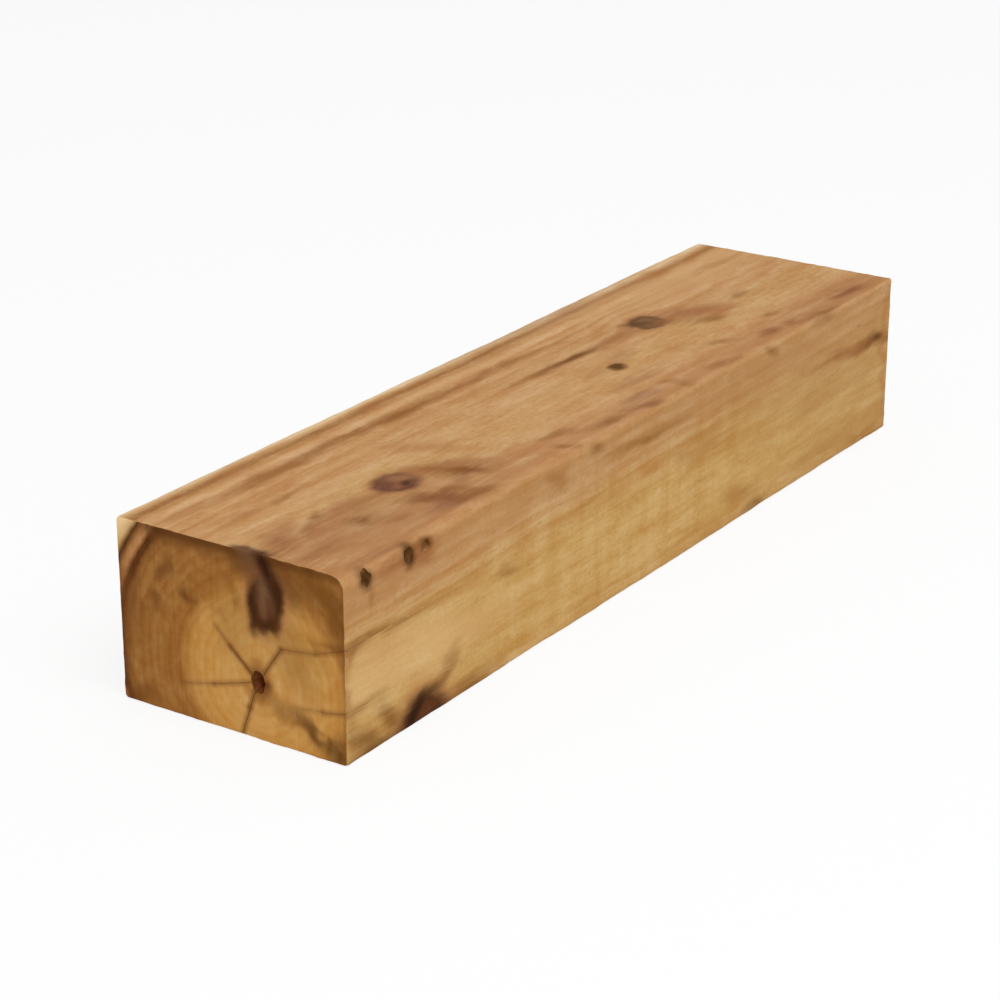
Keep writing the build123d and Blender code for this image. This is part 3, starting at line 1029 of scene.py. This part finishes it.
def cypress_material():
    """Sawn cypress: rings about the pith, knots that grow out of it, stains, fibres and saw marks."""
    material = bpy.data.materials.new("cypress")
    material.use_nodes = True
    tree = material.node_tree
    here = surroundings(tree)
    rings = growth(here)
    grain = grain_patterns(here, rings.late)
    colour = stained(sawn_colour(here, rings, grain), here, grain)
    colour = rims_shade_and_marks(knotted(colour, rings.knots, grain), here, rings.outwards)
    roughness = grain["fibre"] * FIBRE_ROUGHNESS + ROUGHNESS
    bump = here.place.node("ShaderNodeBump", BUMP_STRENGTH, BUMP_DEPTH, 1.0, weighed(grain, HEIGHTS))
    shader = tree.nodes["Principled BSDF"]
    tree.links.new(colour.socket, shader.inputs["Base Color"])
    tree.links.new(roughness.socket, shader.inputs["Roughness"])
    tree.links.new(bump.outputs[0], shader.inputs["Normal"])
    shader.inputs["Specular IOR Level"].default_value = SHEEN_LEVEL
    return material


hold_stains(post.data)
post.data.materials.clear()
post.data.materials.append(cypress_material())

# Camera, from the photograph: it looks at TARGET, given in millimetres in the row frame
AZIMUTH, ELEVATION = math.radians(-56.16), math.radians(21.64)
TARGET = Vector((-14.5, 14.9, 22.5)) * MM
CAMERA_DISTANCE = 1.1541
CAMERA_LENS = 99.9
SENSOR_WIDTH = 36.0

# Studio: one soft box as the key light, an even sky, and a pale floor that glows where it is seen
KEY_DIRECTION = (-0.25, -0.50, 0.83)
KEY_DISTANCE = 2.4
KEY_SIZE = 1.6
KEY_LEVEL = 0.62
SKY_LEVEL = 0.5
FLOOR_SIZE = 16.0
FLOOR_Z = -0.0001
FLOOR_WHITE = 0.95
FLOOR_GLOW = 0.85


def add_camera():
    back = Vector((
        math.sin(AZIMUTH) * math.cos(ELEVATION),
        -math.cos(AZIMUTH) * math.cos(ELEVATION),
        math.sin(ELEVATION),
    ))
    camera = bpy.data.objects.new("camera", bpy.data.cameras.new("camera"))
    camera.data.lens = CAMERA_LENS
    camera.data.sensor_width = SENSOR_WIDTH
    camera.location = TARGET + back * CAMERA_DISTANCE
    camera.rotation_euler = (-back).to_track_quat("-Z", "Y").to_euler()
    bpy.context.scene.collection.objects.link(camera)
    bpy.context.scene.camera = camera


def add_light(name, direction, distance, size, level):
    """A square soft box that lights a white surface facing it to the given level."""
    lamp = bpy.data.lights.new(name, "AREA")
    lamp.size = size
    lamp.energy = level * math.pi ** 2 * distance ** 2
    light = bpy.data.objects.new(name, lamp)
    towards = Vector(direction).normalized()
    light.location = towards * distance
    light.rotation_euler = towards.to_track_quat("Z", "Y").to_euler()
    bpy.context.scene.collection.objects.link(light)


def seen_directly(tree):
    """1 for rays from the camera and for those that glossy or clear surfaces send on, else 0."""
    rays = tree.nodes.new("ShaderNodeLightPath").outputs
    seen = Field(rays["Is Camera Ray"])
    for name in ("Is Glossy Ray", "Is Transmission Ray"):
        seen = seen.math("MAXIMUM", Field(rays[name]))
    return seen


def add_floor():
    bpy.ops.mesh.primitive_plane_add(size=FLOOR_SIZE, location=(0, 0, FLOOR_Z))
    floor = bpy.context.object
    floor.name = "floor"
    material = bpy.data.materials.new("floor")
    material.use_nodes = True
    tree = material.node_tree
    tree.nodes.clear()
    paint = tree.nodes.new("ShaderNodeBsdfDiffuse")
    paint.inputs["Color"].default_value = (FLOOR_WHITE, FLOOR_WHITE, FLOOR_WHITE, 1)
    glow = tree.nodes.new("ShaderNodeEmission")
    share = seen_directly(tree) * FLOOR_GLOW
    mix = tree.nodes.new("ShaderNodeMixShader")
    output = tree.nodes.new("ShaderNodeOutputMaterial")
    tree.links.new(share.socket, mix.inputs[0])
    tree.links.new(paint.outputs[0], mix.inputs[1])
    tree.links.new(glow.outputs[0], mix.inputs[2])
    tree.links.new(mix.outputs[0], output.inputs[0])
    floor.data.materials.append(material)


def add_world():
    world = bpy.data.worlds.new("studio")
    bpy.context.scene.world = world
    world.use_nodes = True
    tree = world.node_tree
    strength = seen_directly(tree).between(SKY_LEVEL, 1.0)
    background = tree.nodes["Background"]
    background.inputs["Color"].default_value = (1, 1, 1, 1)
    tree.links.new(strength.socket, background.inputs["Strength"])


add_camera()
add_world()
add_floor()
add_light("key", KEY_DIRECTION, KEY_DISTANCE, KEY_SIZE, KEY_LEVEL)

bpy.context.scene.view_settings.view_transform = "Standard"
